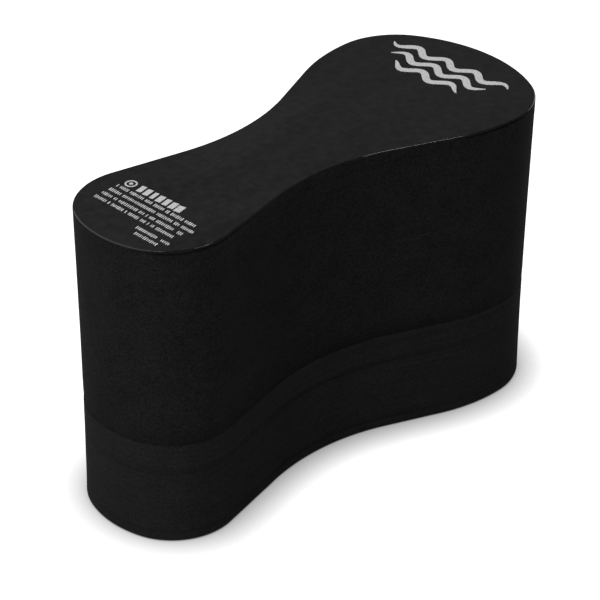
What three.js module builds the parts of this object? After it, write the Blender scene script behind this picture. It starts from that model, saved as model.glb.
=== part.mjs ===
// Pull buoy: a swimmer's leg float, laminated from sheets of closed-cell foam and cut to a
// two-lobed outline. It lies here on its lower face, as it does on the pool side.
//
// Frame, in millimetres: the origin is under the middle of the outline, on the base plane.
// +X points to the large lobe, +Y across the width and +Z up through the sheets.
// The outline is mirror-symmetric about the XZ plane.
import * as THREE from 'three';

// Outline. Each lobe is widest at its x, where its flank arc starts.
const LENGTH = 240;
const LARGE_LOBE = { x: 80, halfWidth: 53, flankRadius: 87, cornerRadius: 35 };
const SMALL_LOBE = { x: -88, halfWidth: 37, flankRadius: 31, cornerRadius: 31 };
const WAIST = { x: -23, halfWidth: 26, radius: 108 };
const ARC_STEPS = 8;
const END_STEPS = 4;
const SAME_POINT = 0.01;

// Foam sheets from the base up, each named with the height of its top face.
const SHEETS = [
  { name: 'bottom_skin_sheet', top: 5.5, edge: 1.25, skin: true },
  { name: 'lower_foam_block', top: 36.5, edge: 0.5, skin: false },
  { name: 'middle_foam_sheet', top: 50.5, edge: 0.5, skin: false },
  { name: 'upper_foam_block', top: 105.5, edge: 0.5, skin: false },
  { name: 'crown_foam_block', top: 141.5, edge: 0.5, skin: false },
  { name: 'top_skin_sheet', top: 147, edge: 1.25, skin: true },
];
const EDGE_STEPS = 2;

// Contact adhesive, one film in each joint, kept back from the cut wall.
const GLUE_FILMS = [
  'bottom_glue_film',
  'lower_glue_film',
  'main_glue_film',
  'upper_glue_film',
  'top_glue_film',
];
const GLUE_THICKNESS = 0.25;
const GLUE_INSET = 1.5;

// Transfer-print films on the top face.
const PRINT_THICKNESS = 0.2;
const WAVE = { middleY: 3, amplitude: 2.6, halfThickness: 1.6, wavelength: 17.5, steps: 32, tipPower: 8 };
const WAVE_PRINTS = [
  { name: 'wave_print_1', x: 98, length: 70 },
  { name: 'wave_print_2', x: 89.5, length: 56 },
  { name: 'wave_print_3', x: 81, length: 42 },
];
const NOTICE_DOT = { name: 'notice_dot', x: -82, y: 22.6, radius: 2.8 };
const NOTICE_BARS = [
  { name: 'notice_heading', x: -82, fromY: 18, toY: -13, thickness: 5 },
  { name: 'notice_line_1', x: -87, fromY: 26, toY: -22.5, thickness: 2.2 },
  { name: 'notice_line_2', x: -91.1, fromY: 26, toY: -26, thickness: 2.2 },
  { name: 'notice_line_3', x: -95.2, fromY: 26, toY: -24, thickness: 2.2 },
  { name: 'notice_line_4', x: -99.3, fromY: 26, toY: -22.5, thickness: 2.2 },
  { name: 'notice_end_line_1', x: -104.4, fromY: -5.5, toY: -26, thickness: 2 },
  { name: 'notice_end_line_2', x: -108, fromY: -8.5, toY: -23, thickness: 2 },
];
const BAR_END_STEPS = 4;
const DOT_STEPS = 16;

const cutFoam = new THREE.MeshStandardMaterial({ color: 0x161616, roughness: 0.85, metalness: 0 });
const skinFoam = new THREE.MeshStandardMaterial({ color: 0x232323, roughness: 0.55, metalness: 0 });
const glue = new THREE.MeshStandardMaterial({ color: 0x0a0a0a, roughness: 0.4, metalness: 0 });
const ink = new THREE.MeshStandardMaterial({ color: 0xdcdcdc, roughness: 0.5, metalness: 0 });

function arc(x, y, radius, from, to, steps) {
  const points = [];
  for (let i = 0; i <= steps; i += 1) {
    const angle = from + ((to - from) * i) / steps;
    points.push(new THREE.Vector2(x + radius * Math.cos(angle), y + radius * Math.sin(angle)));
  }
  return points;
}

// One lobe seen with its tip towards +x: the end arc, the corner arc and the flank arc, each
// tangent to the next, and the angle at which a straight leaves the flank for the waist arc.
function lobeArcs(lobe, waistX) {
  const flankY = lobe.halfWidth - lobe.flankRadius;
  const cornerY = lobe.halfWidth - lobe.cornerRadius;
  const tip = LENGTH / 2 - lobe.x;
  const endRadius = (tip ** 2 + cornerY ** 2 - lobe.cornerRadius ** 2) / (2 * (tip - lobe.cornerRadius));
  const endX = LENGTH / 2 - endRadius;
  const endAngle = Math.atan2(cornerY, lobe.x - endX);
  const run = waistX - lobe.x;
  const rise = WAIST.halfWidth + WAIST.radius - flankY;
  const apart = Math.hypot(run, rise);
  const waistAngle = Math.atan2(rise, run) - Math.acos((lobe.flankRadius + WAIST.radius) / apart);
  return { flankY, cornerY, endRadius, endX, endAngle, waistAngle };
}

// Half of the outline, from the large lobe's tip round to the small lobe's, moved in by inset.
function halfOutline(inset) {
  const large = lobeArcs(LARGE_LOBE, WAIST.x);
  const mirroredSmall = { ...SMALL_LOBE, x: -SMALL_LOBE.x };
  const small = lobeArcs(mirroredSmall, -WAIST.x);
  const square = Math.PI / 2;
  const waistY = WAIST.halfWidth + WAIST.radius;
  const smallWaistAngle = Math.PI - small.waistAngle;
  const smallEndAngle = Math.PI - small.endAngle;
  const convex = (x, y, radius, from, to, steps) => arc(x, y, radius - inset, from, to, steps);
  const concave = (x, y, radius, from, to, steps) => arc(x, y, radius + inset, from, to, steps);
  const arcs = [
    convex(large.endX, 0, large.endRadius, 0, large.endAngle, END_STEPS),
    convex(LARGE_LOBE.x, large.cornerY, LARGE_LOBE.cornerRadius, large.endAngle, square, ARC_STEPS),
    convex(LARGE_LOBE.x, large.flankY, LARGE_LOBE.flankRadius, square, large.waistAngle, ARC_STEPS),
    concave(WAIST.x, waistY, WAIST.radius, large.waistAngle - Math.PI, -small.waistAngle, ARC_STEPS),
    convex(SMALL_LOBE.x, small.flankY, SMALL_LOBE.flankRadius, smallWaistAngle, smallEndAngle, ARC_STEPS),
    convex(-small.endX, 0, small.endRadius, smallEndAngle, Math.PI, END_STEPS),
  ];
  return arcs.flat().filter((point, i, all) => i === 0 || point.distanceTo(all[i - 1]) > SAME_POINT);
}

function outlineShape(inset) {
  const upper = halfOutline(inset);
  const lower = upper.slice(1, -1).reverse().map((point) => new THREE.Vector2(point.x, -point.y));
  return new THREE.Shape([...upper, ...lower]);
}

function addPiece(group, name, geometry, material, z) {
  const mesh = new THREE.Mesh(geometry, material);
  mesh.name = name;
  mesh.position.z = z;
  group.add(mesh);
}

// A foam sheet, with its cut edges eased top and bottom.
function foamSheet(thickness, edge) {
  const geometry = new THREE.ExtrudeGeometry(outlineShape(0), {
    depth: thickness - 2 * edge,
    bevelThickness: edge,
    bevelSize: edge,
    bevelOffset: -edge,
    bevelSegments: EDGE_STEPS,
  });
  return geometry.translate(0, 0, edge);
}

function flatFilm(shape, thickness) {
  return new THREE.ExtrudeGeometry(shape, { depth: thickness, bevelEnabled: false });
}

// A ribbon that swings about a line along Y, even in thickness and closed by blunt tips.
function waveShape(print) {
  const edgePoint = (i, side) => {
    const along = i / WAVE.steps;
    const fromMiddle = (along - 0.5) * print.length;
    const taper = Math.sqrt(1 - Math.abs(2 * along - 1) ** WAVE.tipPower);
    const swing = WAVE.amplitude * Math.cos((2 * Math.PI * fromMiddle) / WAVE.wavelength);
    const x = print.x + swing + side * taper * WAVE.halfThickness;
    return new THREE.Vector2(x, WAVE.middleY + fromMiddle);
  };
  const points = [];
  for (let i = 0; i <= WAVE.steps; i += 1) {
    points.push(edgePoint(i, 1));
  }
  for (let i = WAVE.steps - 1; i > 0; i -= 1) {
    points.push(edgePoint(i, -1));
  }
  return new THREE.Shape(points);
}

// A bar along Y with round ends.
function barShape(bar) {
  const radius = bar.thickness / 2;
  const far = arc(bar.x, bar.fromY - radius, radius, 0, Math.PI, BAR_END_STEPS);
  const near = arc(bar.x, bar.toY + radius, radius, Math.PI, 2 * Math.PI, BAR_END_STEPS);
  return new THREE.Shape([...far, ...near]);
}

function dotShape(dot) {
  return new THREE.Shape(arc(dot.x, dot.y, dot.radius, 0, 2 * Math.PI, DOT_STEPS).slice(0, -1));
}

function buildPullBuoy() {
  const buoy = new THREE.Group();
  let base = 0;
  SHEETS.forEach((sheet, i) => {
    const material = sheet.skin ? skinFoam : cutFoam;
    addPiece(buoy, sheet.name, foamSheet(sheet.top - base, sheet.edge), material, base);
    base = sheet.top;
    if (i < GLUE_FILMS.length) {
      addPiece(buoy, GLUE_FILMS[i], flatFilm(outlineShape(GLUE_INSET), GLUE_THICKNESS), glue, base);
      base += GLUE_THICKNESS;
    }
  });
  const printed = [
    ...WAVE_PRINTS.map((print) => [print.name, waveShape(print)]),
    [NOTICE_DOT.name, dotShape(NOTICE_DOT)],
    ...NOTICE_BARS.map((bar) => [bar.name, barShape(bar)]),
  ];
  printed.forEach(([name, shape]) => addPiece(buoy, name, flatFilm(shape, PRINT_THICKNESS), ink, base));
  return buoy;
}

export default buildPullBuoy();
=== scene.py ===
import math

import bpy
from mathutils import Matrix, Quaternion, Vector


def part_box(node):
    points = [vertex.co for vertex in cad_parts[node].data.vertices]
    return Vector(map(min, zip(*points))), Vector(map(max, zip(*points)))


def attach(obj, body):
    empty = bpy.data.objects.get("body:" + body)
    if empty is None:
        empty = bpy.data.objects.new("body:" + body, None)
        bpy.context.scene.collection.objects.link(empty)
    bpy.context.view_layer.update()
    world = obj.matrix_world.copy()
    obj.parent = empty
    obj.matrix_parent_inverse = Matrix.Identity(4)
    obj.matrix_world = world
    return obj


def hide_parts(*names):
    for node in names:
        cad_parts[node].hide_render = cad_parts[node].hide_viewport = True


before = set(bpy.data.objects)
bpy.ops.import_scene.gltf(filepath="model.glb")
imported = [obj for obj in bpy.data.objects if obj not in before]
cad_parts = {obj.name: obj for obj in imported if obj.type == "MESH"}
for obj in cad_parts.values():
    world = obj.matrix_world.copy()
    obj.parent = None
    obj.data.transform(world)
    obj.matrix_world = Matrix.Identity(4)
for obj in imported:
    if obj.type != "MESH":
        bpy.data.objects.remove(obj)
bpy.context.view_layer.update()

MM = 0.001


# --- Outline -------------------------------------------------------------------------------
# Every foam sheet is cut to one two-lobed outline: a wide lobe, a narrow waist and a small
# lobe. It is made of arcs, each tangent to the next, with a short straight on either side of
# the waist arc, and it is mirror-symmetric about the long axis.
length = 240 * MM
large_lobe = {"x": 80 * MM, "half_width": 53 * MM, "flank": 87 * MM, "corner": 35 * MM}
small_lobe = {"x": 88 * MM, "half_width": 37 * MM, "flank": 31 * MM, "corner": 31 * MM}
waist = {"x": -23 * MM, "half_width": 26 * MM, "radius": 108 * MM}
outline_step = 1.1 * MM
least_turn = 0.001


def lobe_arcs(lobe, waist_x):
    """The arcs of one lobe whose tip points to +x: x, y, radius, and the start and stop angles."""
    flank_y = lobe["half_width"] - lobe["flank"]
    corner_y = lobe["half_width"] - lobe["corner"]
    tip = length / 2 - lobe["x"]
    end = (tip**2 + corner_y**2 - lobe["corner"] ** 2) / (2 * (tip - lobe["corner"]))
    end_angle = math.atan2(corner_y, lobe["x"] - length / 2 + end)
    run = waist_x - lobe["x"]
    rise = waist["half_width"] + waist["radius"] - flank_y
    reach = (lobe["flank"] + waist["radius"]) / math.hypot(run, rise)
    leave = math.atan2(rise, run) - math.acos(reach)
    return [
        (length / 2 - end, 0, end, 0, end_angle),
        (lobe["x"], corner_y, lobe["corner"], end_angle, math.pi / 2),
        (lobe["x"], flank_y, lobe["flank"], math.pi / 2, leave),
    ]


def along_arc(x, y, radius, start, stop):
    """Points and outward normals along an arc, its first point left out."""
    count = max(2, round(radius * abs(stop - start) / outline_step))
    points = []
    for i in range(1, count + 1):
        angle = start + (stop - start) * i / count
        out = Vector((math.cos(angle), math.sin(angle), 0))
        points.append((Vector((x, y, 0)) + radius * out, out))
    return points


def along_straight(start, stop):
    """Points and normals between two points, both left out."""
    count = max(2, round((stop[0] - start[0]).length / outline_step))
    return [(start[0].lerp(stop[0], i / count), start[1]) for i in range(1, count)]


def half_outline():
    """(point, outward normal) from the large lobe's tip to the small lobe's, along the +Y side."""
    large = lobe_arcs(large_lobe, waist["x"])
    small = [
        (-x, y, radius, math.pi - stop, math.pi - start)
        for x, y, radius, start, stop in reversed(lobe_arcs(small_lobe, -waist["x"]))
    ]
    path = [(Vector((length / 2, 0, 0)), Vector((1, 0, 0)))]
    for arc in large:
        path += along_arc(*arc)
    hollow = along_arc(
        waist["x"],
        waist["half_width"] + waist["radius"],
        waist["radius"],
        large[-1][4] - math.pi,
        small[0][3] - math.pi,
    )
    hollow = [(point, -out) for point, out in hollow]
    path += along_straight(path[-1], hollow[0]) + hollow
    flank = []
    for arc in small:
        if abs(arc[4] - arc[3]) > least_turn:
            flank += along_arc(*arc)
    return path + along_straight(path[-1], flank[0]) + flank


upper_half = half_outline()
lower_half = [
    (Vector((point.x, -point.y, 0)), Vector((out.x, -out.y, 0)))
    for point, out in reversed(upper_half[1:-1])
]
outline = upper_half + lower_half


# --- Foam block ----------------------------------------------------------------------------
# Six sheets of closed-cell EVA foam, bonded with contact adhesive and then cut through together
# by a blade. The wall is one cut surface. The blade flexes, so the wall is slightly hollow, and
# the sheets were pressed, so their bond lines wander and part a little where the blade dragged.
face_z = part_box("top_skin_sheet")[1].z
half_gap = (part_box("lower_foam_block")[0].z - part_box("bottom_skin_sheet")[1].z) / 2

# How far in from the wall an edge is worked, how far the glue stops short of the wall, how far
# in from a plain edge its face starts, in radii, and how thick the moulded skin is.
edge_reach = 3 * MM
glue_setback = 1.3 * MM
face_start = 1.2
skin_depth = 0.25 * MM

# How many steps a mesh takes round an edge, and across a face that is hidden or shown.
edge_steps = 5
hidden_steps = 8
shown_steps = 36

# Where along X the bonds have parted, how far that reaches before they are closed, and how much
# of the parting and of the painted shade is left round the lobes.
open_middle = waist["x"] + 20 * MM
open_within = 30 * MM
closed_from = 58 * MM
closed_opening = 0.12
closed_bond_shade = 0.6

# How the painted shade and the wall's curl die away from a bond.
bond_shade_fall = 1.5
curl_fall = 2
curl_reach = 11 * MM

# The top skin stands over the cut below it: from where to where below the rim, how rounded and
# how deep that step is, and where along X and away from the long axis it grows to its full depth.
lip_top = 0.75 * MM
lip_bottom = 2.0 * MM
lip_corner = 0.35 * MM
lip_depth = 1.4 * MM
large_lobe_lip = {"x": (46 * MM, 72 * MM), "y": (12 * MM, 30 * MM), "share": 1.0}
small_lobe_lip = {"x": (58 * MM, 80 * MM), "y": (16 * MM, 28 * MM), "share": 0.6}

# For each sheet, for its lower face and its upper: the radius of the edge, the depth of the
# groove at the bond, how far the wall curls in towards the face, and how strongly and how far
# from the face shade is painted on the wall. A face without a bond has no groove.
sheet_edges = {
    "bottom_skin_sheet": {
        "radius": (1.5, 0.1),
        "groove": (0, 0.3),
        "curl": (0, 0),
        "bond_shade": ((0, 1), (0.9, 1.4)),
        "rings": 0.9,
    },
    "lower_foam_block": {
        "radius": (0.1, 0.1),
        "groove": (0.3, 0.08),
        "curl": (0, 0),
        "bond_shade": ((0.4, 1.5), (0.6, 2.5)),
        "rings": 1.6,
    },
    "middle_foam_sheet": {
        "radius": (0.1, 0.05),
        "groove": (0.08, 0.1),
        "curl": (0, 0),
        "bond_shade": ((0.45, 2.5), (0, 1)),
        "rings": 1.3,
    },
    "upper_foam_block": {
        "radius": (0.05, 0.04),
        "groove": (0.1, 0.02),
        "curl": (0.2, 0),
        "bond_shade": ((1.0, 13), (0, 1)),
        "rings": 1.6,
    },
    "crown_foam_block": {
        "radius": (0.04, 0.06),
        "groove": (0.02, 0.06),
        "curl": (0, 0),
        "bond_shade": ((0, 1), (0.25, 1.0)),
        "rings": 1.6,
    },
    "top_skin_sheet": {
        "radius": (0.06, 0.8),
        "groove": (0.06, 0),
        "curl": (0, 0),
        "bond_shade": ((0.25, 1.0), (0, 1)),
        "rings": 0.24,
    },
}


def fade(value, start, stop):
    """Runs smoothly from 0 at start to 1 at stop."""
    share = max(0.0, min(1.0, (value - start) / (stop - start)))
    return share * share * (3 - 2 * share)


def bond_opening(point):
    """How far a bond's groove has parted: hardly round the lobes, and most at the waist."""
    from_middle = abs(point.x - open_middle)
    return closed_opening + (1 - closed_opening) * fade(from_middle, closed_from, open_within)


def bond_shade_strength(point):
    """How strongly the painted shade at a bond shows round the outline: most where the bond has
    parted.
    """
    return closed_bond_shade + (1 - closed_bond_shade) * bond_opening(point)


def lip_opening(point):
    """How fully the top skin stands over the cut below it: at both corners of the large lobe, and
    less at the small lobe's -Y corner."""
    large = fade(point.x, *large_lobe_lip["x"]) * fade(abs(point.y), *large_lobe_lip["y"])
    small = fade(-point.x, *small_lobe_lip["x"]) * fade(-point.y, *small_lobe_lip["y"])
    return large_lobe_lip["share"] * large + small_lobe_lip["share"] * small


def round_edge(face, side, radius, groove):
    """The steps round one edge of a sheet, from its face to its wall."""
    bonded = groove > 0
    seat = face + side * half_gap if bonded else face
    steps = [{"z": face, "inset": edge_reach, "groove": 0.0}]
    if bonded:
        steps.append({"z": face, "inset": glue_setback, "groove": 0.0})
    else:
        steps.append({"z": face, "inset": radius * face_start, "groove": 0.0})
    for i in range(edge_steps + 1):
        turn = i / edge_steps * math.pi / 2
        drawn = 1 - math.sin(turn)
        steps.append(
            {
                "z": seat - side * radius * (1 - math.cos(turn)),
                "inset": 0.0 if bonded else radius * drawn,
                "groove": groove * drawn,
            }
        )
    return steps


def sheet_steps(low, high, edge):
    """A sheet's edge from its lower face to its upper, as steps of height, inset and groove."""
    start = round_edge(low, -1, edge["radius"][0] * MM, edge["groove"][0] * MM)
    stop = round_edge(high, 1, edge["radius"][1] * MM, edge["groove"][1] * MM)
    bottom, top = start[-1]["z"], stop[-1]["z"]
    rings = max(2, round((top - bottom) / (edge["rings"] * MM)))
    wall = [
        {"z": bottom + (top - bottom) * i / rings, "inset": 0.0, "groove": 0.0}
        for i in range(1, rings)
    ]
    return start + wall + stop[::-1]


def bond_shade_at(z, low, high, edge):
    """How strongly shade is painted on the wall at a height: most at a bond, fading away from it."""
    (low_shade, low_reach), (high_shade, high_reach) = edge["bond_shade"]
    lower = low_shade * max(0.0, 1 - (z - low) / (low_reach * MM)) ** bond_shade_fall
    upper = high_shade * max(0.0, 1 - (high - z) / (high_reach * MM)) ** bond_shade_fall
    return min(1.0, lower + upper)


def curl_at(z, low, high, edge):
    """How far the wall has rolled in at a height, over the last centimetre to a bond."""
    low_curl, high_curl = edge["curl"]
    lower = low_curl * MM * max(0.0, 1 - (z - low) / curl_reach) ** curl_fall
    upper = high_curl * MM * max(0.0, 1 - (high - z) / curl_reach) ** curl_fall
    return lower + upper


def lip_at(z):
    """The share of the undercut at a height: a narrow step just below the rim of the skin."""
    below = face_z - z
    entered = fade(below, lip_top, lip_top + lip_corner)
    return entered * fade(below, lip_bottom, lip_bottom - lip_corner)


def cap_rows(points, ring, across):
    """Rows of vertices straight across a face, from one side of the outline to the other."""
    count, half = len(outline), len(upper_half)
    start = ring * count
    rows = [[start]]
    for i in range(1, half - 1):
        one, two = start + i, start + count - i
        row = [one]
        for step in range(1, across):
            row.append(len(points))
            points.append(points[one].lerp(points[two], step / across))
        rows.append(row + [two])
    return rows + [[start + half - 1]]


def cap_faces(rows, turned):
    """The faces between rows of vertices, closed to a point at both tips."""
    faces = []
    for one, two in zip(rows, rows[1:]):
        first = one if len(one) > 1 else one * len(two)
        second = two if len(two) > 1 else two * len(one)
        for k in range(len(first) - 1):
            loop = list(dict.fromkeys((first[k], second[k], second[k + 1], first[k + 1])))
            faces.append(loop[::-1] if turned else loop)
    return faces


def add_attribute(mesh, name, kind, domain, values):
    """Stores one value for each vertex or face of a mesh, filled up with zeros."""
    made = mesh.attributes.new(name, kind, domain)
    if kind == "FLOAT_VECTOR":
        values = values + [Vector()] * (len(made.data) - len(values))
        made.data.foreach_set("vector", [part for value in values for part in value])
    else:
        values = values + [0] * (len(made.data) - len(values))
        made.data.foreach_set("value", values)


def laid_sheet(name):
    """A sheet as it was laid up, flat and straight, as a closed mesh. Its attributes say how
    the press and the blade change it: which way is out, how near the edge a point is, its
    share of the thickness and the depth of its groove; and how much shade is painted on it,
    near its bonds and in the step under the skin's rim."""
    low, high = (corner.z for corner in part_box(name))
    edge = sheet_edges[name]
    steps = sheet_steps(low, high, edge)
    points, outs, edges, shares, grooves, painted_shades = [], [], [], [], [], []
    for step in steps:
        z = step["z"]
        curl, bond_shade = curl_at(z, low, high, edge), bond_shade_at(z, low, high, edge)
        lip = lip_at(z) if high == face_z else 0.0
        for point, out in outline:
            points.append(point - out * (step["inset"] + curl) + Vector((0, 0, z)))
            outs.append(out)
            edges.append(max(0.0, 1 - step["inset"] / edge_reach))
            shares.append((z - low) / (high - low))
            # Painted shade: dark in the step under the skin's rim, and in a band at each bond.
            undercut = lip * lip_opening(point)
            grooves.append(step["groove"] * bond_opening(point) + undercut * lip_depth)
            painted_shades.append(min(1.0, undercut + bond_shade * bond_shade_strength(point)))
    count = len(outline)
    faces = []
    for ring in range(len(steps) - 1):
        for i in range(count):
            one, two = ring * count + i, ring * count + (i + 1) % count
            faces.append((one, two, two + count, one + count))
    faces += cap_faces(cap_rows(points, 0, shown_steps if low == 0 else hidden_steps), True)
    upper_steps = shown_steps if high == face_z else hidden_steps
    faces += cap_faces(cap_rows(points, len(steps) - 1, upper_steps), False)
    mesh = bpy.data.meshes.new(name + "_laid")
    mesh.from_pydata(points, [], faces)
    mesh.polygons.foreach_set("use_smooth", [True] * len(mesh.polygons))
    add_attribute(mesh, "out", "FLOAT_VECTOR", "POINT", outs)
    add_attribute(mesh, "near_edge", "FLOAT", "POINT", edges)
    add_attribute(mesh, "share", "FLOAT", "POINT", shares)
    add_attribute(mesh, "groove", "FLOAT", "POINT", grooves)
    add_attribute(mesh, "painted_shade", "FLOAT", "POINT", painted_shades)
    outer = 0.0 if low == 0 else face_z
    skinned = [abs(face.center.z - outer) < skin_depth for face in mesh.polygons]
    add_attribute(mesh, "skinned", "BOOLEAN", "FACE", skinned)
    return mesh


def add_node(tree, kind, inputs=None, **values):
    """Adds a node. Values are its attributes. Inputs are numbers, or the sockets that feed it."""
    made = tree.nodes.new(kind)
    for name, value in values.items():
        setattr(made, name, value)
    for socket, value in (inputs or {}).items():
        if isinstance(value, bpy.types.NodeSocket):
            tree.links.new(value, made.inputs[socket])
        else:
            made.inputs[socket].default_value = value
    return made


def new_tree(name, inputs):
    """A Geometry Nodes tree with named inputs, given as {name: (kind, default value)}."""
    tree = bpy.data.node_groups.new(name, "GeometryNodeTree")
    tree.interface.new_socket("Geometry", in_out="INPUT", socket_type="NodeSocketGeometry")
    tree.interface.new_socket("Geometry", in_out="OUTPUT", socket_type="NodeSocketGeometry")
    for title, (kind, default) in inputs.items():
        socket = tree.interface.new_socket(title, in_out="INPUT", socket_type="NodeSocket" + kind)
        if default is not None:
            socket.default_value = default
    return tree


def grow(name, mesh, tree, inputs):
    """Runs a tree on a mesh, with its inputs given by name, and returns it as a plain piece."""
    piece = bpy.data.objects.new(name, mesh)
    bpy.context.collection.objects.link(piece)
    modifier = piece.modifiers.new("grown", "NODES")
    modifier.node_group = tree
    for socket in tree.interface.items_tree:
        if socket.name in inputs:
            modifier[socket.identifier] = inputs[socket.name]
    grown = piece.evaluated_get(bpy.context.evaluated_depsgraph_get())
    plain = bpy.data.meshes.new_from_object(grown)
    piece.modifiers.clear()
    piece.data = plain
    plain.name = name
    return piece


def press_and_cut_tree():
    """Does to a laid sheet what the press and the blade do. The wall is drawn in by the blade's
    flex, by a fine ripple and by the grooves at its bonds, and its bonded edges wander."""
    tree = new_tree(
        "press_and_cut",
        {
            "Face Height": ("Float", face_z),
            "Flex Depth": ("Float", 0.6 * MM),
            "Flex Bias": ("Float", 0.8),
            "Ripple Depth": ("Float", 0.14 * MM),
            "Ripple Length": ("Float", 11 * MM),
            "Wander Length": ("Float", 30 * MM),
            "Wander Spread": ("Float", 100.0),
            "Wander Below": ("Float", 0.0),
            "Wander Above": ("Float", 0.0),
            "Bond Below": ("Float", 0.0),
            "Bond Above": ("Float", 0.0),
            "Cut Finish": ("Material", None),
            "Skin Finish": ("Material", None),
        },
    )
    given = add_node(tree, "NodeGroupInput").outputs
    place = add_node(tree, "GeometryNodeInputPosition").outputs[0]
    axes = add_node(tree, "ShaderNodeSeparateXYZ", {0: place}).outputs
    kinds = {
        "out": "FLOAT_VECTOR",
        "near_edge": "FLOAT",
        "share": "FLOAT",
        "groove": "FLOAT",
        "skinned": "BOOLEAN",
    }
    stored = {}
    for name, kind in kinds.items():
        read = add_node(tree, "GeometryNodeInputNamedAttribute", {"Name": name}, data_type=kind)
        stored[name] = read.outputs[0]

    height = add_node(
        tree,
        "ShaderNodeMath",
        {0: axes["Z"], 1: given["Face Height"]},
        operation="DIVIDE",
        use_clamp=True,
    )
    lowered = add_node(
        tree, "ShaderNodeMath", {0: height.outputs[0], 1: given["Flex Bias"]}, operation="POWER"
    )
    angle = add_node(tree, "ShaderNodeMath", {0: lowered.outputs[0], 1: math.pi}, operation="MULTIPLY")
    bow = add_node(tree, "ShaderNodeMath", {0: angle.outputs[0]}, operation="SINE")
    ripple_scale = add_node(
        tree, "ShaderNodeMath", {0: 1.0, 1: given["Ripple Length"]}, operation="DIVIDE"
    )
    ripple = add_node(
        tree, "ShaderNodeTexNoise", {"Vector": place, "Scale": ripple_scale.outputs[0], "Detail": 2.0}
    )
    rippled = add_node(
        tree, "ShaderNodeMath", {0: ripple.outputs[0], 1: stored["near_edge"]}, operation="MULTIPLY"
    )
    grooved = add_node(
        tree,
        "ShaderNodeMath",
        {0: rippled.outputs[0], 1: given["Ripple Depth"], 2: stored["groove"]},
        operation="MULTIPLY_ADD",
    )
    drawn = add_node(
        tree,
        "ShaderNodeMath",
        {0: bow.outputs[0], 1: given["Flex Depth"], 2: grooved.outputs[0]},
        operation="MULTIPLY_ADD",
    )
    inward = add_node(tree, "ShaderNodeMath", {0: drawn.outputs[0], 1: -1.0}, operation="MULTIPLY")

    level = add_node(tree, "ShaderNodeCombineXYZ", {"X": axes["X"], "Y": axes["Y"]})
    wander_scale = add_node(
        tree, "ShaderNodeMath", {0: 1.0, 1: given["Wander Length"]}, operation="DIVIDE"
    )
    other_share = add_node(
        tree, "ShaderNodeMath", {0: 1.0, 1: stored["share"]}, operation="SUBTRACT"
    )
    lift = 0.0
    for side, share in (("Below", other_share.outputs[0]), ("Above", stored["share"])):
        # Each bond takes its own course, picked by its height, so that both its sheets agree.
        course = add_node(
            tree,
            "ShaderNodeMath",
            {0: given["Bond " + side], 1: given["Wander Spread"]},
            operation="MULTIPLY",
        )
        rolling = add_node(
            tree,
            "ShaderNodeTexNoise",
            {
                "Vector": level.outputs[0],
                "W": course.outputs[0],
                "Scale": wander_scale.outputs[0],
                "Detail": 2.0,
            },
            noise_dimensions="4D",
        )
        centred = add_node(
            tree, "ShaderNodeMath", {0: rolling.outputs[0], 1: 0.5}, operation="SUBTRACT"
        )
        wide = add_node(
            tree,
            "ShaderNodeMath",
            {0: centred.outputs[0], 1: given["Wander " + side]},
            operation="MULTIPLY",
        )
        lift = add_node(
            tree, "ShaderNodeMath", {0: wide.outputs[0], 1: share, 2: lift}, operation="MULTIPLY_ADD"
        ).outputs[0]
    lifted = add_node(tree, "ShaderNodeMath", {0: lift, 1: stored["near_edge"]}, operation="MULTIPLY")
    upward = add_node(tree, "ShaderNodeCombineXYZ", {"Z": lifted.outputs[0]})
    offset = add_node(
        tree,
        "ShaderNodeVectorMath",
        {0: stored["out"], 1: inward.outputs[0], 2: upward.outputs[0]},
        operation="MULTIPLY_ADD",
    )
    moved = add_node(
        tree, "GeometryNodeSetPosition", {"Geometry": given["Geometry"], "Offset": offset.outputs[0]}
    )
    real = add_node(tree, "GeometryNodeRealizeInstances", {0: moved.outputs[0]})
    cut = add_node(
        tree, "GeometryNodeSetMaterial", {"Geometry": real.outputs[0], "Material": given["Cut Finish"]}
    )
    skinned = add_node(
        tree,
        "GeometryNodeSetMaterial",
        {
            "Geometry": cut.outputs[0],
            "Selection": stored["skinned"],
            "Material": given["Skin Finish"],
        },
    )
    add_node(tree, "NodeGroupOutput", {0: skinned.outputs[0]})
    return tree


def srgb(hex_code):
    """A hex colour as linear red, green, blue and alpha."""
    channels = [int(hex_code[i : i + 2], 16) / 255 for i in (1, 3, 5)]
    linear = [c / 12.92 if c <= 0.04045 else ((c + 0.055) / 1.055) ** 2.4 for c in channels]
    return (*linear, 1.0)


def new_material(name):
    """An empty node material, and its tree."""
    material = bpy.data.materials.new(name)
    material.use_nodes = True
    material.node_tree.nodes.clear()
    return material, material.node_tree


# A colour mix has its two colours at inputs 6 and 7, and the mixed one at output 2.
first_colour, second_colour, mixed_colour = 6, 7, 2


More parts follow.
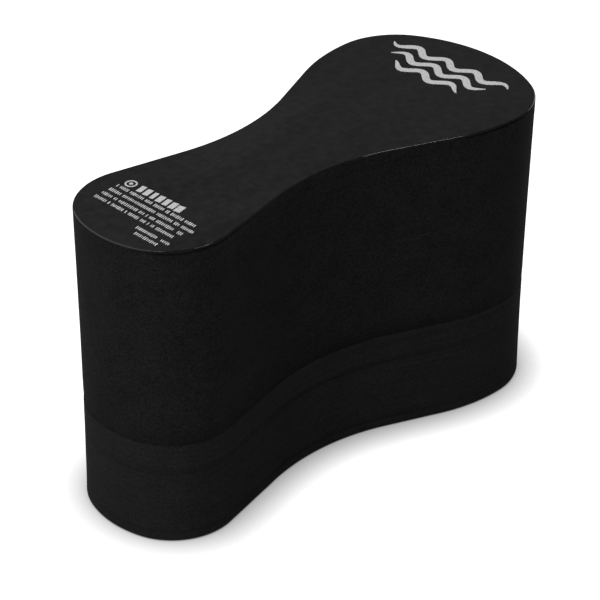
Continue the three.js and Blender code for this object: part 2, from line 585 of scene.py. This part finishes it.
def blade_cut_eva(name, dark, light, striation, grit):
    """Closed-cell EVA foam, blade cut: the blade opens the cells, so the wall is matt and takes
    hardly any gloss. It has fine pores, soft blotches and the blade's level lines, and painted
    shade: a darker band at each bond and in the step under the skin's rim."""
    material, tree = new_material(name)
    place = add_node(tree, "ShaderNodeTexCoord").outputs["Object"]
    blotches = add_node(
        tree, "ShaderNodeTexNoise", {"Vector": place, "Scale": 1 / (14 * MM), "Detail": 3.0}
    )
    # Real cells are 0.2 to 0.4 mm. They are drawn at 0.6 mm so that they show at all.
    cells = add_node(tree, "ShaderNodeTexVoronoi", {"Vector": place, "Scale": 1 / (0.6 * MM)})
    cell_tone = add_node(tree, "ShaderNodeSeparateColor", {0: cells.outputs["Color"]})
    stretched = add_node(
        tree,
        "ShaderNodeMapping",
        {"Vector": place, "Scale": (1 / (120 * MM), 1 / (120 * MM), 1 / (1.1 * MM))},
    )
    lines = add_node(
        tree, "ShaderNodeTexNoise", {"Vector": stretched.outputs[0], "Scale": 1.0, "Detail": 3.0}
    )
    soft_marks = add_node(
        tree,
        "ShaderNodeMix",
        {"Factor": striation, "A": blotches.outputs[0], "B": lines.outputs[0]},
    )
    mottle = add_node(
        tree, "ShaderNodeMix", {"Factor": grit, "A": soft_marks.outputs[0], "B": cell_tone.outputs[0]}
    )
    share = add_node(
        tree, "ShaderNodeMapRange", {"Value": mottle.outputs[0], "From Min": 0.12, "From Max": 0.88}
    )
    foam = add_node(
        tree,
        "ShaderNodeMix",
        {
            "Factor": share.outputs[0],
            first_colour: srgb(dark),
            second_colour: srgb(light),
        },
        data_type="RGBA",
    )
    # Painted shade, read from the sheet: the wall is darkened near each bond and under the skin's rim.
    painted_shade = add_node(tree, "ShaderNodeAttribute", attribute_name="painted_shade")
    shade_factor = add_node(
        tree, "ShaderNodeMapRange", {"Value": painted_shade.outputs["Fac"], "To Min": 1.0, "To Max": 0.55}
    )
    darkened = add_node(
        tree,
        "ShaderNodeVectorMath",
        {0: foam.outputs[mixed_colour], "Scale": shade_factor.outputs[0]},
        operation="SCALE",
    )
    relief = add_node(
        tree, "ShaderNodeMix", {"Factor": 0.6, "A": lines.outputs[0], "B": cell_tone.outputs[0]}
    )
    bump = add_node(
        tree, "ShaderNodeBump", {"Height": relief.outputs[0], "Strength": 0.8, "Distance": 0.25 * MM}
    )
    shader = add_node(
        tree,
        "ShaderNodeBsdfPrincipled",
        {
            "Base Color": darkened.outputs[0],
            "Normal": bump.outputs[0],
            "Roughness": 0.7,
            "IOR": 1.45,
            "Specular IOR Level": 0.1,
        },
    )
    add_node(tree, "ShaderNodeOutputMaterial", {"Surface": shader.outputs[0]})
    return material


# The skin's glazed rim: where it begins and is full, as values of near_edge, and how glossy it
# is. Then its patch of painted sheen at the waist: its middle, its half length and half width,
# its turn from the long axis, and how much paler it is.
glaze_start = 0.72
glaze_full = 0.8
glaze_roughness = 0.1
sheen_patch_middle = (-15 * MM, 21 * MM, face_z)
sheen_patch_size = (64 * MM, 15 * MM, 64 * MM)
sheen_patch_turn = math.radians(6)
sheen_patch_lift = 0.22


def moulded_eva_skin(name):
    """Closed-cell EVA foam with its moulded skin: the outside of the slab closes over in the
    mould, so it is smooth and satin, with faint flow marks and a fine grain, and a paler patch
    of painted sheen at the waist. The blade's heat glazed its rim."""
    material, tree = new_material(name)
    place = add_node(tree, "ShaderNodeTexCoord").outputs["Object"]
    blotches = add_node(
        tree, "ShaderNodeTexNoise", {"Vector": place, "Scale": 1 / (4 * MM), "Detail": 5.0}
    )
    stretched = add_node(
        tree,
        "ShaderNodeMapping",
        {
            "Vector": place,
            "Rotation": (0, 0, math.radians(-9)),
            "Scale": (1 / (60 * MM), 1 / (12 * MM), 1 / (60 * MM)),
        },
    )
    flow = add_node(
        tree, "ShaderNodeTexNoise", {"Vector": stretched.outputs[0], "Scale": 1.0, "Detail": 4.0}
    )
    marks = add_node(
        tree, "ShaderNodeMix", {"Factor": 0.35, "A": blotches.outputs[0], "B": flow.outputs[0]}
    )
    # Painted sheen: a paler patch on the top face at the waist.
    sheen_patch_place = add_node(
        tree,
        "ShaderNodeMapping",
        {
            "Vector": place,
            "Location": sheen_patch_middle,
            "Rotation": (0, 0, sheen_patch_turn),
            "Scale": sheen_patch_size,
        },
        vector_type="TEXTURE",
    )
    sheen_patch = add_node(
        tree,
        "ShaderNodeTexGradient",
        {"Vector": sheen_patch_place.outputs[0]},
        gradient_type="SPHERICAL",
    )
    marks_and_sheen = add_node(
        tree,
        "ShaderNodeMath",
        {0: sheen_patch.outputs["Fac"], 1: sheen_patch_lift, 2: marks.outputs[0]},
        operation="MULTIPLY_ADD",
    )
    share = add_node(
        tree,
        "ShaderNodeMapRange",
        {"Value": marks_and_sheen.outputs[0], "From Min": 0.34, "From Max": 0.68},
    )
    foam = add_node(
        tree,
        "ShaderNodeMix",
        {
            "Factor": share.outputs[0],
            first_colour: srgb("#060606"),
            second_colour: srgb("#181818"),
        },
        data_type="RGBA",
    )
    fine = add_node(
        tree, "ShaderNodeTexNoise", {"Vector": place, "Scale": 1 / (0.9 * MM), "Detail": 3.0}
    )
    edge = add_node(tree, "ShaderNodeAttribute", attribute_name="near_edge")
    glazed = add_node(
        tree,
        "ShaderNodeMapRange",
        {"Value": edge.outputs["Fac"], "From Min": glaze_start, "From Max": glaze_full},
    )
    grain = add_node(
        tree, "ShaderNodeMapRange", {"Value": glazed.outputs[0], "To Min": 0.6, "To Max": 0.06}
    )
    bump = add_node(
        tree,
        "ShaderNodeBump",
        {"Height": fine.outputs[0], "Strength": grain.outputs[0], "Distance": 0.1 * MM},
    )
    gloss = add_node(
        tree, "ShaderNodeMapRange", {"Value": share.outputs[0], "To Min": 0.28, "To Max": 0.42}
    )
    roughness = add_node(
        tree,
        "ShaderNodeMapRange",
        {"Value": glazed.outputs[0], "To Min": gloss.outputs[0], "To Max": glaze_roughness},
    )
    shader = add_node(
        tree,
        "ShaderNodeBsdfPrincipled",
        {
            "Base Color": foam.outputs[mixed_colour],
            "Roughness": roughness.outputs[0],
            "Normal": bump.outputs[0],
            "IOR": 1.48,
            "Specular IOR Level": 0.36,
        },
    )
    add_node(tree, "ShaderNodeOutputMaterial", {"Surface": shader.outputs[0]})
    return material


skin = moulded_eva_skin("moulded_eva_skin")
lower_cut = blade_cut_eva(
    "blade_cut_eva_lower", dark="#0c0c0c", light="#282828", striation=0.65, grit=0.35
)
upper_cut = blade_cut_eva(
    "blade_cut_eva_upper", dark="#080808", light="#232323", striation=0.3, grit=0.5
)
press_and_cut = press_and_cut_tree()
bond_wander = 1.1 * MM

for sheet in sheet_edges:
    low, high = (corner.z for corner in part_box(sheet))
    piece = grow(
        sheet + "_foam",
        laid_sheet(sheet),
        press_and_cut,
        {
            "Bond Below": low - half_gap,
            "Bond Above": high + half_gap,
            "Wander Below": bond_wander if low > 0 else 0.0,
            "Wander Above": bond_wander if high < face_z else 0.0,
            "Cut Finish": lower_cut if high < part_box("upper_foam_block")[0].z else upper_cut,
            "Skin Finish": skin,
        },
    )
    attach(piece, "root")
    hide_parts(sheet)


# --- Glue films ----------------------------------------------------------------------------
# Contact adhesive, brushed on and dried between the sheets, set back from the cut wall. It is
# a brown-black rubber, half glossy, with the marks of the brush.
def brushed_contact_adhesive():
    """Polychloroprene contact adhesive, brushed on: dark, half glossy and streaked."""
    material, tree = new_material("brushed_contact_adhesive")
    place = add_node(tree, "ShaderNodeTexCoord").outputs["Object"]
    stretched = add_node(
        tree, "ShaderNodeMapping", {"Vector": place, "Scale": (1 / (30 * MM), 1 / (1.2 * MM), 1.0)}
    )
    strokes = add_node(
        tree, "ShaderNodeTexNoise", {"Vector": stretched.outputs[0], "Scale": 1.0, "Detail": 4.0}
    )
    rubber = add_node(
        tree,
        "ShaderNodeMix",
        {
            "Factor": strokes.outputs[0],
            first_colour: srgb("#0c0a08"),
            second_colour: srgb("#1a1612"),
        },
        data_type="RGBA",
    )
    bump = add_node(
        tree, "ShaderNodeBump", {"Height": strokes.outputs[0], "Strength": 0.6, "Distance": 0.1 * MM}
    )
    shader = add_node(
        tree,
        "ShaderNodeBsdfPrincipled",
        {
            "Base Color": rubber.outputs[mixed_colour],
            "Normal": bump.outputs[0],
            "Roughness": 0.35,
            "IOR": 1.5,
        },
    )
    add_node(tree, "ShaderNodeOutputMaterial", {"Surface": shader.outputs[0]})
    return material


adhesive = brushed_contact_adhesive()
for film in ("bottom", "lower", "main", "upper", "top"):
    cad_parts[film + "_glue_film"].data.materials.clear()
    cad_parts[film + "_glue_film"].data.materials.append(adhesive)


# --- Wave mark -----------------------------------------------------------------------------
# Three plain waves in pale ink on the large lobe. The ink is a heat transfer: a film a tenth of
# a millimetre thick, pressed onto the skin, that is even but for the small pores where it is thin.
ink_thickness = 0.12 * MM
wave_length = 17.5 * MM
wave_rise = 2.6 * MM
wave_half_width = 1.75 * MM
wave_taper = 9 * MM
wave_bluntness = 0.6
wave_least = 0.05 * MM
wave_step = 0.5 * MM


def transfer_ink(name, ink):
    """Heat-transfer ink on foam: opaque, satin, and finely broken by the pores under it."""
    material, tree = new_material(name)
    place = add_node(tree, "ShaderNodeTexCoord").outputs["Object"]
    cover = add_node(
        tree, "ShaderNodeTexNoise", {"Vector": place, "Scale": 1 / (0.8 * MM), "Detail": 3.0}
    )
    thin = add_node(
        tree, "ShaderNodeMapRange", {"Value": cover.outputs[0], "From Min": 0.25, "From Max": 0.45}
    )
    layer = add_node(
        tree,
        "ShaderNodeMix",
        {
            "Factor": thin.outputs[0],
            first_colour: srgb("#8a8a8a"),
            second_colour: srgb(ink),
        },
        data_type="RGBA",
    )
    bump = add_node(
        tree, "ShaderNodeBump", {"Height": cover.outputs[0], "Strength": 0.3, "Distance": 0.05 * MM}
    )
    shader = add_node(
        tree,
        "ShaderNodeBsdfPrincipled",
        {
            "Base Color": layer.outputs[mixed_colour],
            "Normal": bump.outputs[0],
            "Roughness": 0.5,
            "IOR": 1.5,
            "Specular IOR Level": 0.3,
        },
    )
    add_node(tree, "ShaderNodeOutputMaterial", {"Surface": shader.outputs[0]})
    return material


def ink_prism(name, loops, material):
    """A closed film of ink on the top face. Each loop is one flat outline, counter-clockwise,
    or a pair of outer and inner outlines with as many points each, for a ring."""
    base, top = face_z, face_z + ink_thickness
    points, faces = [], []
    for loop in loops:
        rims = loop if isinstance(loop, tuple) else (loop,)
        count = len(rims[0])
        first = len(points)
        for rim in rims:
            for height in (base, top):
                points += [Vector((point.x, point.y, height)) for point in rim]
        steps = [(i, (i + 1) % count) for i in range(count)]
        faces += [(first + i, first + j, first + count + j, first + count + i) for i, j in steps]
        if len(rims) == 1:
            faces.append([first + i for i in range(count)][::-1])
            faces.append([first + count + i for i in range(count)])
        else:
            inner = first + 2 * count
            faces += [(inner + j, inner + i, inner + count + i, inner + count + j) for i, j in steps]
            faces += [(first + j, first + i, inner + i, inner + j) for i, j in steps]
            faces += [
                (first + count + i, first + count + j, inner + count + j, inner + count + i)
                for i, j in steps
            ]
    mesh = bpy.data.meshes.new(name)
    mesh.from_pydata(points, [], faces)
    mesh.materials.append(material)
    return mesh


def wave_loop(x, y, reach):
    """The outline of a wave along Y that is thickest in its middle and comes to a point."""
    count = round(reach / wave_step)
    near, far = [], []
    for i in range(count + 1):
        along = (i / count - 0.5) * reach
        turn = 2 * math.pi * along / wave_length
        middle = Vector((x + wave_rise * math.sin(turn), y + along, 0))
        slope = wave_rise * math.cos(turn) * 2 * math.pi / wave_length
        across = Vector((1, -slope, 0)).normalized()
        taper = min(1.0, (reach / 2 - abs(along)) / wave_taper) ** wave_bluntness
        half = max(wave_half_width * taper, wave_least)
        near.append(middle - across * half)
        far.append(middle + across * half)
    return far + near[::-1]


def lay_print(name, mesh, node):
    """Makes a print from its mesh and says which CAD solid it stands for."""
    piece = bpy.data.objects.new(name, mesh)
    bpy.context.collection.objects.link(piece)
    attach(piece, "root")
    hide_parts(node)


mark_ink = transfer_ink("transfer_ink_mark", "#dcdcdc")
for number in (1, 2, 3):
    node = f"wave_print_{number}"
    low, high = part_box(node)
    middle = (low + high) / 2
    loop = wave_loop(middle.x, middle.y, high.y - low.y)
    lay_print(node + "_ink", ink_prism(node + "_ink", [loop], mark_ink), node)


# --- Notice --------------------------------------------------------------------------------
# A block of small print on the small lobe, in the same kind of ink: a round sign, a heading and six
# lines. Each line is a row of plain strokes in groups, as words look from a distance, with no
# lettering in it.
notice_ink = transfer_ink("transfer_ink_notice", "#dedede")
sign_rim = 0.75 * MM
sign_dot = 0.9 * MM
sign_points = 48


def circle(x, y, radius):
    """Points round a circle, counter-clockwise."""
    turns = [2 * math.pi * i / sign_points for i in range(sign_points)]
    return [Vector((x + radius * math.cos(turn), y + radius * math.sin(turn), 0)) for turn in turns]


low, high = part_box("notice_dot")
sign = (low + high) / 2
sign_radius = (high.x - low.x) / 2
sign_loops = [
    (circle(sign.x, sign.y, sign_radius), circle(sign.x, sign.y, sign_radius - sign_rim)),
    circle(sign.x, sign.y, sign_dot),
]
lay_print("notice_sign_ink", ink_prism("notice_sign_ink", sign_loops, notice_ink), "notice_dot")


def greeked_row_tree():
    """Sets plain strokes in a row along -Y, leaves some out as the spaces between words, and
    varies how tall and how wide they are."""
    tree = new_tree(
        "greeked_row",
        {
            "Start": ("Vector", (0.0, 0.0, 0.0)),
            "Strokes": ("Int", 10),
            "Pitch": ("Float", 1.0 * MM),
            "Stroke Width": ("Float", 0.5 * MM),
            "Stroke Height": ("Float", 2.0 * MM),
            "Shortest": ("Float", 0.6),
            "Narrowest": ("Float", 0.75),
            "Widest": ("Float", 1.25),
            "Ink Thickness": ("Float", ink_thickness),
            "Space Share": ("Float", 0.15),
            "Slant": ("Float", math.radians(12)),
            "Seed": ("Int", 1),
            "Size Seed Shift": ("Float", 100.0),
            "Ink": ("Material", None),
        },
    )
    given = add_node(tree, "NodeGroupInput").outputs
    back = add_node(tree, "ShaderNodeMath", {0: given["Pitch"], 1: -1.0}, operation="MULTIPLY")
    step = add_node(tree, "ShaderNodeCombineXYZ", {"Y": back.outputs[0]})
    row = add_node(
        tree,
        "GeometryNodeMeshLine",
        {"Count": given["Strokes"], "Start Location": given["Start"], "Offset": step.outputs[0]},
    )
    space = add_node(
        tree,
        "FunctionNodeRandomValue",
        {"Probability": given["Space Share"], "Seed": given["Seed"]},
        data_type="BOOLEAN",
    )
    # The last of a random value's four outputs is the true or false one.
    words = add_node(
        tree,
        "GeometryNodeDeleteGeometry",
        {"Geometry": row.outputs[0], "Selection": space.outputs[3]},
    )
    size = add_node(
        tree,
        "ShaderNodeCombineXYZ",
        {"X": given["Stroke Height"], "Y": given["Stroke Width"], "Z": given["Ink Thickness"]},
    )
    stroke = add_node(tree, "GeometryNodeMeshCube", {"Size": size.outputs[0]})
    lean = add_node(tree, "ShaderNodeCombineXYZ", {"Z": given["Slant"]})
    least = add_node(
        tree, "ShaderNodeCombineXYZ", {"X": given["Shortest"], "Y": given["Narrowest"], "Z": 1.0}
    )
    most = add_node(tree, "ShaderNodeCombineXYZ", {"X": 1.0, "Y": given["Widest"], "Z": 1.0})
    other_seed = add_node(
        tree, "ShaderNodeMath", {0: given["Seed"], 1: given["Size Seed Shift"]}, operation="ADD"
    )
    scale = add_node(
        tree,
        "FunctionNodeRandomValue",
        {0: least.outputs[0], 1: most.outputs[0], "Seed": other_seed.outputs[0]},
        data_type="FLOAT_VECTOR",
    )
    strokes = add_node(
        tree,
        "GeometryNodeInstanceOnPoints",
        {
            "Points": words.outputs[0],
            "Instance": stroke.outputs[0],
            "Rotation": lean.outputs[0],
            "Scale": scale.outputs[0],
        },
    )
    real = add_node(tree, "GeometryNodeRealizeInstances", {0: strokes.outputs[0]})
    inked = add_node(
        tree, "GeometryNodeSetMaterial", {"Geometry": real.outputs[0], "Material": given["Ink"]}
    )
    add_node(tree, "NodeGroupOutput", {0: inked.outputs[0]})
    return tree


greeked_row = greeked_row_tree()
heading_type = {"pitch": 3.9 * MM, "width": 2.7 * MM, "shortest": 1.0, "spaces": 0.0}
line_type = {"pitch": 1.05 * MM, "width": 0.54 * MM, "shortest": 0.65, "spaces": 0.13}
rows = ["notice_heading"] + [f"notice_line_{i}" for i in (1, 2, 3, 4)]
rows += [f"notice_end_line_{i}" for i in (1, 2)]

for seed, node in enumerate(rows, 1):
    low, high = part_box(node)
    kind = heading_type if node == "notice_heading" else line_type
    start = Vector(((low.x + high.x) / 2, high.y - kind["pitch"] / 2, face_z + ink_thickness / 2))
    piece = grow(
        node + "_ink",
        bpy.data.meshes.new(node + "_blank"),
        greeked_row,
        {
            "Start": start,
            "Strokes": int((high.y - low.y) / kind["pitch"]),
            "Pitch": kind["pitch"],
            "Stroke Width": kind["width"],
            "Stroke Height": high.x - low.x,
            "Shortest": kind["shortest"],
            "Space Share": kind["spaces"],
            "Seed": seed,
            "Ink": notice_ink,
        },
    )
    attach(piece, "root")
    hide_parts(node)


# --- Floor, light and camera ---------------------------------------------------------------
# A white seamless floor under soft studio light: the paper glows white as seen, with a soft
# contact shadow painted on it close round the base. Four softboxes shape the block, and
# three small ones overhead draw the thin highlights along its rim.
floor_size = 8.0
softbox_distance = 1.6

# How the paper shows: how far the contact shade reaches and how finely it is sampled, how bright
# the open paper is, where along X the shade is light and where it is deep, each with its
# strength, and how much of the light the paper sends back up to the object.
shadow_reach = 26 * MM
shadow_samples = 16
open_glow = 1.35
light_shade = {"x": -135 * MM, "strength": 0.95}
deep_shade = {"x": -90 * MM, "strength": 1.72}
paper_bounce = 0.42


def paper_with_painted_shadow():
    """White paper that glows white as seen, with a contact shadow painted close to the object from
    its ambient occlusion. The painted shadow is lighter towards the small lobe's tip."""
    material, tree = new_material("paper_with_painted_shadow")
    seen = add_node(tree, "ShaderNodeLightPath").outputs["Is Camera Ray"]
    bounced = add_node(
        tree, "ShaderNodeBsdfDiffuse", {"Color": (paper_bounce, paper_bounce, paper_bounce, 1)}
    )
    # Painted shadow: ambient occlusion darkens the paper's glow close to the object, less towards the
    # small lobe's tip.
    shade = add_node(
        tree, "ShaderNodeAmbientOcclusion", {"Distance": shadow_reach}, samples=shadow_samples
    )
    place = add_node(tree, "ShaderNodeTexCoord").outputs["Object"]
    along = add_node(tree, "ShaderNodeSeparateXYZ", {"Vector": place})
    depth = add_node(
        tree,
        "ShaderNodeMapRange",
        {
            "Value": along.outputs["X"],
            "From Min": light_shade["x"],
            "From Max": deep_shade["x"],
            "To Min": light_shade["strength"],
            "To Max": deep_shade["strength"],
        },
    )
    deepened = add_node(
        tree, "ShaderNodeMath", {0: shade.outputs["AO"], 1: depth.outputs[0]}, operation="POWER"
    )
    tone = add_node(
        tree, "ShaderNodeMath", {0: deepened.outputs[0], 1: open_glow}, operation="MULTIPLY"
    )
    glow = add_node(tree, "ShaderNodeEmission", {"Strength": tone.outputs[0]})
    mix = add_node(tree, "ShaderNodeMixShader", {0: seen, 1: bounced.outputs[0], 2: glow.outputs[0]})
    add_node(tree, "ShaderNodeOutputMaterial", {"Surface": mix.outputs[0]})
    return material


def add_floor():
    """One large flat square at the height of the rest face."""
    reach = floor_size / 2
    corners = [(-reach, -reach, 0), (reach, -reach, 0), (reach, reach, 0), (-reach, reach, 0)]
    mesh = bpy.data.meshes.new("floor")
    mesh.from_pydata(corners, [], [(0, 1, 2, 3)])
    mesh.materials.append(paper_with_painted_shadow())
    floor = bpy.data.objects.new("floor", mesh)
    bpy.context.collection.objects.link(floor)


def add_softbox(name, azimuth, elevation, size, watts):
    """A square light that faces the middle of the object. Azimuth 0 is at +X, 90 at +Y."""
    turn, lift = math.radians(azimuth), math.radians(elevation)
    flat = math.cos(lift)
    away = Vector((math.cos(turn) * flat, math.sin(turn) * flat, math.sin(lift)))
    light = bpy.data.lights.new(name, "AREA")
    light.shape = "SQUARE"
    light.size = size
    light.energy = watts
    lamp = bpy.data.objects.new(name, light)
    lamp.location = Vector((0, 0, face_z / 2)) + away * softbox_distance
    lamp.rotation_euler = away.to_track_quat("Z", "Y").to_euler()
    bpy.context.collection.objects.link(lamp)


def add_world(seen, cast):
    """A plain world, as bright as seen to the camera and as bright as cast to the object."""
    world = bpy.data.worlds.new("studio")
    world.use_nodes = True
    tree = world.node_tree
    tree.nodes.clear()
    path = add_node(tree, "ShaderNodeLightPath").outputs["Is Camera Ray"]
    shown = add_node(tree, "ShaderNodeBackground", {"Color": (seen, seen, seen, 1)})
    lit = add_node(tree, "ShaderNodeBackground", {"Color": (cast, cast, cast, 1)})
    mix = add_node(tree, "ShaderNodeMixShader", {0: path, 1: lit.outputs[0], 2: shown.outputs[0]})
    add_node(tree, "ShaderNodeOutputWorld", {"Surface": mix.outputs[0]})
    bpy.context.scene.world = world


def add_camera(aim, azimuth, elevation, distance, roll, lens):
    """A camera that looks at aim. Azimuth 0 looks along +Y, and elevation is above level."""
    turn, lift = math.radians(azimuth), math.radians(elevation)
    flat = math.cos(lift)
    back = Vector((math.sin(turn) * flat, -math.cos(turn) * flat, math.sin(lift)))
    data = bpy.data.cameras.new("camera")
    data.lens = lens
    data.sensor_width = 36
    camera = bpy.data.objects.new("camera", data)
    camera.rotation_mode = "QUATERNION"
    facing = back.to_track_quat("Z", "Y")
    camera.location = Vector(aim) + back * distance
    camera.rotation_quaternion = facing @ Quaternion((0, 0, 1), math.radians(roll))
    bpy.context.collection.objects.link(camera)
    bpy.context.scene.camera = camera


add_floor()
add_softbox("back_softbox", azimuth=121, elevation=43, size=2.3, watts=20.2)
add_softbox("end_softbox", azimuth=198, elevation=9, size=1.4, watts=10.4)
add_softbox("tip_softbox", azimuth=0, elevation=8, size=1.0, watts=4.8)
add_softbox("side_softbox", azimuth=230, elevation=6, size=0.4, watts=3.8)
add_softbox("rim_softbox", azimuth=-20, elevation=66, size=0.16, watts=1.7)
add_softbox("corner_softbox", azimuth=-36, elevation=72, size=0.16, watts=1.1)
add_softbox("top_softbox", azimuth=143, elevation=82, size=0.16, watts=1.1)
add_world(seen=1.0, cast=0.165)
add_camera(
    aim=(-0.0133, -0.0102, 0.0735),
    azimuth=-45.604,
    elevation=32.276,
    distance=1.0267,
    roll=0.561,
    lens=137.66,
)
bpy.context.scene.view_settings.view_transform = "Standard"
